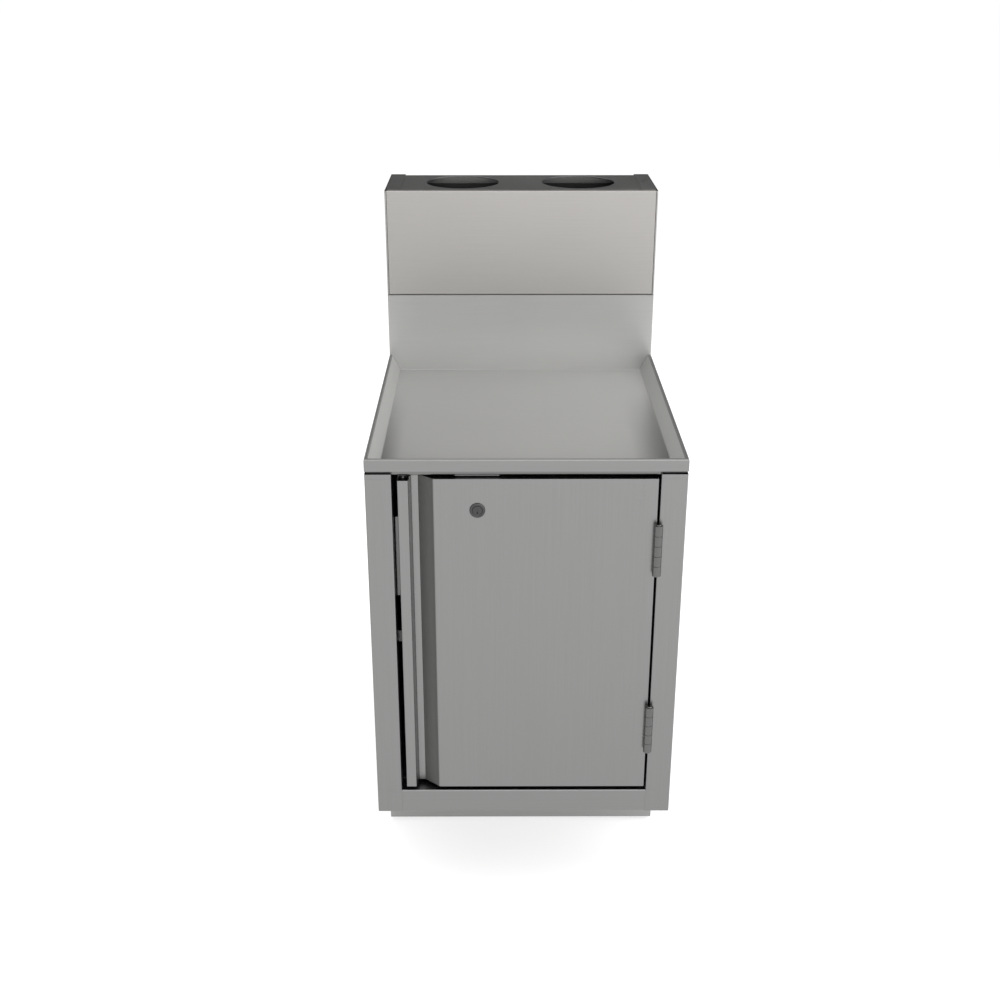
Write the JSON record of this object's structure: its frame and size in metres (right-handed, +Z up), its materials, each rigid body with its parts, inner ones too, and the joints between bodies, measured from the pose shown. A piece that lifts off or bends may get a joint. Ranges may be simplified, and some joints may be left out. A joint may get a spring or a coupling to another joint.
{
  "type": "underbar cabinet",
  "caption": "Stainless underbar cabinet with a dished worktop, a riser with round holes in its top, a lockable door with a recessed pull, and levelling feet.",
  "frame": {"origin": "on the floor, in the middle of the cabinet's footprint, hinge barrels included", "axes": "+Z up, the door faces -Y, +X to the right of a person facing the door"},
  "size_m": [0.4572, 0.686, 1.0443],
  "materials": {
    "satin_steel": "satin brushed stainless",
    "inner_steel": "mill finish stainless",
    "hinge_steel": "satin stainless",
    "lock_metal": "dull nickel",
    "fastener_steel": "stainless",
    "foot_steel": "turned stainless",
    "catch_plastic": "moulded",
    "bumper_rubber": "soft"
  },
  "bodies": {
    "cabinet": {"side_left": "satin_steel", "side_right": "satin_steel", "bottom_rail": "satin_steel", "top_rail": "satin_steel", "worktop": "satin_steel", "riser_end_left": "satin_steel", "riser_end_right": "satin_steel", "riser_front_panel": "satin_steel", "riser_top": "satin_steel", "riser_back": "satin_steel", "kick_panel": "satin_steel", "base_side_left": "satin_steel", "base_side_right": "satin_steel", "base_rear": "satin_steel", "back_panel": "inner_steel", "cabinet_floor": "inner_steel", "floor_channel_front": "inner_steel", "floor_channel_rear": "inner_steel", "rear_rail_top": "inner_steel", "rear_rail_bottom": "inner_steel", "deck_channel_front": "inner_steel", "deck_channel_middle": "inner_steel", "deck_channel_rear": "inner_steel", "foot_plates": "inner_steel", "lock_strike": "inner_steel", "catch_bracket": "inner_steel", "shelf": "inner_steel", "shelf_clips": "inner_steel", "hinge_frame_leaves": "hinge_steel", "hinge_pins": "hinge_steel", "shell_bolts": "fastener_steel", "shell_nuts": "fastener_steel", "foot_lock_nuts": "fastener_steel", "magnetic_catch": "catch_plastic", "door_bumpers": "bumper_rubber"},
    "door": {"door_skin": "satin_steel", "door_pull": "satin_steel", "door_back_plate": "inner_steel", "door_stiffener": "inner_steel", "door_screws": "fastener_steel", "lock_body": "lock_metal", "lock_nut": "lock_metal", "catch_keeper": "inner_steel", "hinge_door_leaves": "hinge_steel"},
    "lock": {"lock_plug": "lock_metal", "lock_cam": "lock_metal", "cam_screw": "lock_metal"},
    "foot_front_left": {"foot_front_left": "foot_steel"},
    "foot_front_right": {"foot_front_right": "foot_steel"},
    "foot_rear_left": {"foot_rear_left": "foot_steel"},
    "foot_rear_right": {"foot_rear_right": "foot_steel"}
  },
  "joints": [
    {"name": "door_hinge", "type": "hinge", "parent": "cabinet", "child": "door", "pos_m": [0.1891, -0.33668, 0.47285], "axis": [0, 0, 1], "range_deg": [0, 180]},
    {"name": "lock_turn", "type": "hinge", "parent": "door", "child": "lock", "pos_m": [-0.0694, -0.33008, 0.6844], "axis": [0, -1, 0], "range_deg": [0, 90]},
    {"name": "foot_front_left_screw", "type": "slide", "parent": "cabinet", "child": "foot_front_left", "axis": [0, 0, -1], "range_m": [0, 0.012]},
    {"name": "foot_front_right_screw", "type": "slide", "parent": "cabinet", "child": "foot_front_right", "axis": [0, 0, -1], "range_m": [0, 0.012]},
    {"name": "foot_rear_left_screw", "type": "slide", "parent": "cabinet", "child": "foot_rear_left", "axis": [0, 0, -1], "range_m": [0, 0.012]},
    {"name": "foot_rear_right_screw", "type": "slide", "parent": "cabinet", "child": "foot_rear_right", "axis": [0, 0, -1], "range_m": [0, 0.012]}
  ]
}
